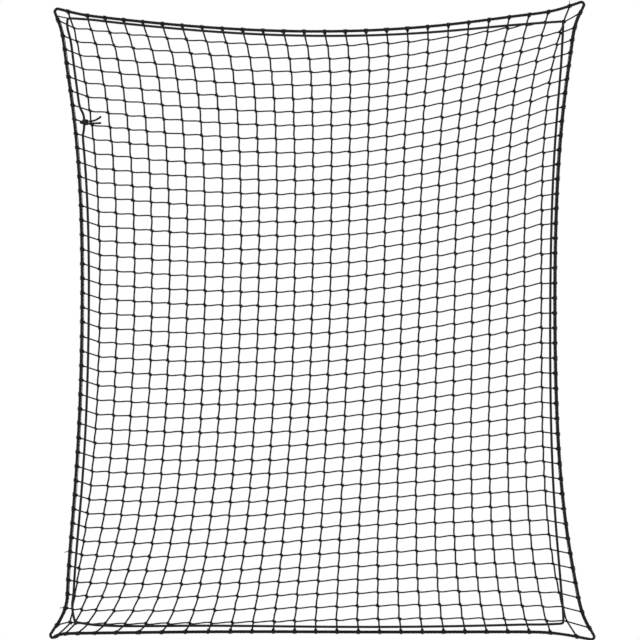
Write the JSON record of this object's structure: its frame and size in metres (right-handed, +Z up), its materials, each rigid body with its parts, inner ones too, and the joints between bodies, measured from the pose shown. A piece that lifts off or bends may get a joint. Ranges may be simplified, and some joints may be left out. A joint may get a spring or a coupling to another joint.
{
  "type": "cargo net",
  "caption": "Rectangular black knotted rope net with fine meshes, lashed to a border rope that forms four corner loops, with a draw cord threaded round the edge and knotted on the left",
  "frame": {"origin": "middle of the net's outline, in the plane of its crossings", "axes": "+Z up the net, +X to the right as seen from the front, the front faces -Y"},
  "size_m": [1.3635, 0.0348, 1.5971],
  "materials": {
    "mesh_twine": "black twisted synthetic twine, matt with a faint sheen",
    "border_rope": "black braided synthetic rope, matt",
    "lashing_twine": "thin black lashing twine, matt",
    "draw_cord": "black braided cord, slightly smoother than the twine"
  },
  "bodies": {
    "root": {"border_lashing_bottom": "lashing_twine", "border_lashing_left": "lashing_twine", "border_lashing_right": "lashing_twine", "border_lashing_top": "lashing_twine", "border_rope": "border_rope", "draw_cord": "draw_cord", "draw_cord_knot": "draw_cord", "draw_cord_tail_lower": "draw_cord", "draw_cord_tail_upper": "draw_cord", "level_twines_01_02": "mesh_twine", "level_twines_03_04": "mesh_twine", "level_twines_05_06": "mesh_twine", "level_twines_07_08": "mesh_twine", "level_twines_09_10": "mesh_twine", "level_twines_11_12": "mesh_twine", "level_twines_13_14": "mesh_twine", "level_twines_15_16": "mesh_twine", "level_twines_17_18": "mesh_twine", "level_twines_19_20": "mesh_twine", "level_twines_21_22": "mesh_twine", "level_twines_23_24": "mesh_twine", "level_twines_25_26": "mesh_twine", "level_twines_27_28": "mesh_twine", "level_twines_29_30": "mesh_twine", "level_twines_31_32": "mesh_twine", "level_twines_33_34": "mesh_twine", "level_twines_35_36": "mesh_twine", "level_twines_37_38": "mesh_twine", "level_twines_39_40": "mesh_twine", "level_twines_41_42": "mesh_twine", "level_twines_43": "mesh_twine", "mesh_knots_lower": "mesh_twine", "mesh_knots_middle": "mesh_twine", "mesh_knots_upper": "mesh_twine", "upright_twine_01": "mesh_twine", "upright_twine_02": "mesh_twine", "upright_twine_03": "mesh_twine", "upright_twine_04": "mesh_twine", "upright_twine_05": "mesh_twine", "upright_twine_06": "mesh_twine", "upright_twine_07": "mesh_twine", "upright_twine_08": "mesh_twine", "upright_twine_09": "mesh_twine", "upright_twine_10": "mesh_twine", "upright_twine_11": "mesh_twine", "upright_twine_12": "mesh_twine", "upright_twine_13": "mesh_twine", "upright_twine_14": "mesh_twine", "upright_twine_15": "mesh_twine", "upright_twine_16": "mesh_twine", "upright_twine_17": "mesh_twine", "upright_twine_18": "mesh_twine", "upright_twine_19": "mesh_twine", "upright_twine_20": "mesh_twine", "upright_twine_21": "mesh_twine", "upright_twine_22": "mesh_twine", "upright_twine_23": "mesh_twine", "upright_twine_24": "mesh_twine", "upright_twine_25": "mesh_twine", "upright_twine_26": "mesh_twine"}
  },
  "joints": []
}
